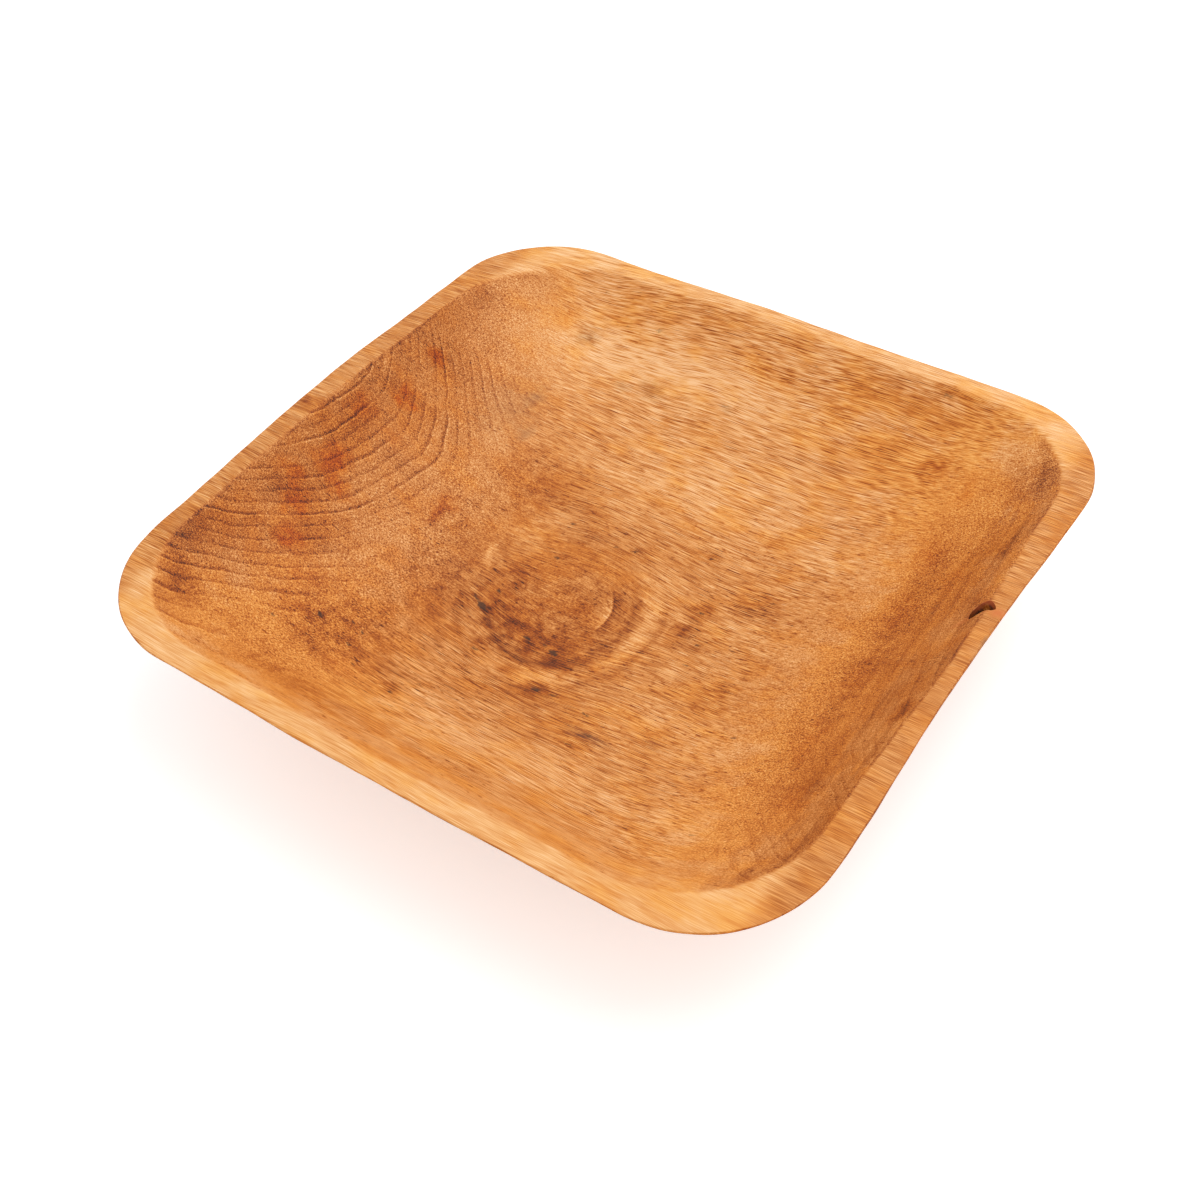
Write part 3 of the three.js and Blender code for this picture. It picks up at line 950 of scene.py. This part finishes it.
    # orange zones and marks, then grey and black ones; one grey mark is partly painted shade
    shares = timber["warmShares"]
    warms = finish.marks(frayed, timber["warms"], timber["warmThickness"]) * level(mottle, "mottledWarms")
    warms = warms + shares["all"] + broad * shares["broad"] + streaks + bands * shares["bands"]
    warms = warms + stains * shares["stains"] + zones * shares["zones"]
    warms = warms + shares["right"] * fade(x, "warmRight") * level(fade(z, "warmHigh"), "warmsHigh")
    warms = warms + shares["front"] * fade(-y, "warmFront") * offRim
    colour = finish.blend(warms, colour, timber["warmth"], "MULTIPLY")
    ambers = finish.marks(frayed, timber["ambers"], thickness) * level(blots, "blottedAmbers")
    for share in (ambers, ambers - 1):  # twice where a mark is over 1
        colour = finish.blend(share, colour, timber["amber"], "MULTIPLY")
    greyMarksAndEdgeShade = finish.marks(frayed, timber["greyMarksAndEdgeShade"], thickness) * level(mottle, "mottledAshes")
    colour = finish.blend(greyMarksAndEdgeShade, colour, timber["greyForMarksAndShade"])
    soots = fade(finish.marks(nicked, timber["soots"], thickness), "soots")
    colour = finish.blend(soots * timber["sootShare"], colour, timber["sootBlack"])

    # a rusty stain beside the knot, whose hole is reddish at its edge and dark below, the dark being painted
    # shade
    rusts = finish.marks(nicked, timber["rusts"], thickness)
    colour = finish.blend(rusts, colour, timber["rust"])
    turned = Vector((0, 0, 1)).rotation_difference(knotAxis()).to_matrix()
    turned = turned @ Matrix.Rotation(math.radians(knotShape["turn"]), 3, "Z")
    reach = timber["holeReach"]
    hole = {
        "Vector": place,
        "Location": knotShape["place"],
        "Rotation": turned.to_euler(),
        "Scale": (knotShape["length"] * reach, knotShape["width"] * reach, timber["holeLength"]),
    }
    fromHole = finish.node("Mapping", {"vector_type": "TEXTURE"}, hole)
    inHole = finish.node("TexGradient", {"gradient_type": "SPHERICAL"}, {"Vector": fromHole}, 1)
    inHole = inHole * fade(axis(fromHole, "Y"), "holeSide")
    offEdge = (timber["holeInside"] - x).most(0.0)
    depth = timber["holeTop"] - offEdge * timber["holeFall"] - z
    # painted shade: the hole's wall turns dark with depth below the rim
    holeColour = finish.blend(fade(depth, "holeDepth"), timber["holeRed"], timber["holeDeepShade"])
    colour = finish.blend(fade(inHole, "holeEdge"), colour, holeColour)

    relief = {
        "Strength": timber["bumpStrength"],
        "Distance": timber["bumpDepth"],
        "Height": pores + streaks - ringMask * timber["ringRelief"],
    }
    surface = {
        "Base Color": colour,
        "Roughness": timber["roughness"] - timber["poreGloss"] * pores,
        "Specular IOR Level": timber["specular"],
        "Normal": finish.node("Bump", {}, relief),
    }
    finish.node("OutputMaterial", {}, {"Surface": finish.node("BsdfPrincipled", {}, surface)})
    print("timber made:", len(finish.tree.nodes), "nodes")
    return finish.owner


# the knot's dark wood is darkened further to near-black, as painted shade of the void in its hole
knotWood = {
    "heart": (0.055, 0.026, 0.024),
    "bark": (0.022, 0.014, 0.014),
    "rust": (0.150, 0.050, 0.030),
    "fibres": (0.0012, 0.0008, 3.0, 0.0),  # size along and across, detail, shift
    "flakes": (0.003, 0.003, 2.0, 5.0),
    "fibreFade": (0.35, 0.65),
    "flakeFade": (0.5, 0.75),
    "roughness": 0.75,
    "fibreGloss": 0.2,
    "specular": 0.2,
    "bumpStrength": 0.6,
    "bumpDepth": 0.0003,
}


def makeKnotWood():
    finish = Finish(bpy.data.materials.new("dark_knot_and_void_shade"))
    place = finish.node("TexCoord", {}, {}, "Object")
    fibres = finish.noise(place, *knotWood["fibres"])
    flakes = finish.noise(place, *knotWood["flakes"])
    colour = finish.blend(finish.smooth(fibres, *knotWood["fibreFade"]), knotWood["bark"], knotWood["heart"])
    colour = finish.blend(finish.smooth(flakes, *knotWood["flakeFade"]), colour, knotWood["rust"])
    relief = {"Strength": knotWood["bumpStrength"], "Distance": knotWood["bumpDepth"], "Height": fibres}
    surface = {
        "Base Color": colour,
        "Roughness": knotWood["roughness"] - knotWood["fibreGloss"] * fibres,
        "Specular IOR Level": knotWood["specular"],
        "Normal": finish.node("Bump", {}, relief),
    }
    finish.node("OutputMaterial", {}, {"Surface": finish.node("BsdfPrincipled", {}, surface)})
    print("knot wood made")
    return finish.owner


# gives a piece its material and shading, hides the solid it stands for, and hangs it under the root body
def dress(piece, node, material, angle):
    piece.data.materials.clear()
    piece.data.materials.append(material)
    smoothByAngle(piece, angle)
    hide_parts(node)
    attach(piece, "root")


makeCamera()
bowl = makeBowl()
knot = makeKnot(bowl)
dress(bowl, "bowl_body", makeTimber(), bowlShape["smoothAngle"])
dress(knot, "rim_knot", makeKnotWood(), knotShape["smoothAngle"])
print("pieces dressed")

studio = {
    "skyStrength": 0.75,
    "lampPlace": (0.35, 0.35, 1.25),
    "lampSize": 1.1,
    "lampPower": 7.0,
    "floorSize": 8,
    "floorWhite": (0.93, 0.93, 0.93),
    "floorGlow": 0.45,  # what the camera sees over the floor's own light
}


# 1 for rays that show the background itself, and 0 for those that light the bowl
def seenDirectly(finish):
    rays = ("Is Camera Ray", "Is Glossy Ray", "Is Transmission Ray")
    camera, glossy, through = (finish.node("LightPath", {}, {}, ray) for ray in rays)
    return camera + glossy + through


def makeStage():
    bpy.ops.object.select_all(action="DESELECT")
    bpy.ops.mesh.primitive_plane_add(size=studio["floorSize"])
    floor = bpy.context.object
    floor.name = "table_top"
    finish = Finish(bpy.data.materials.new("table_white"))
    paint = finish.node("BsdfDiffuse", {}, {"Color": (*studio["floorWhite"], 1)})
    glow = finish.node("Emission", {}, {"Color": (1, 1, 1, 1), "Strength": studio["floorGlow"]})
    bright = finish.node("AddShader", {}, {0: paint, 1: glow})
    table = finish.node("MixShader", {}, {0: seenDirectly(finish), 1: paint, 2: bright})
    finish.node("OutputMaterial", {}, {"Surface": table})
    floor.data.materials.append(finish.owner)

    bpy.ops.object.light_add(type="AREA", location=studio["lampPlace"])
    lamp = bpy.context.object
    lamp.name = "soft_lamp"
    lamp.data.size = studio["lampSize"]
    lamp.data.energy = studio["lampPower"]
    lamp.rotation_euler = (-lamp.location).to_track_quat("-Z", "Y").to_euler()  # at the bowl

    world = bpy.data.worlds.new("white_room")
    bpy.context.scene.world = world
    sky = Finish(world)
    level = studio["skyStrength"] + seenDirectly(sky) * (1 - studio["skyStrength"])
    backdrop = sky.node("Background", {}, {"Color": (1, 1, 1, 1), "Strength": level})
    sky.node("OutputWorld", {}, {"Surface": backdrop})
    bpy.context.scene.view_settings.view_transform = "Standard"
    print("stage lit")


makeStage()
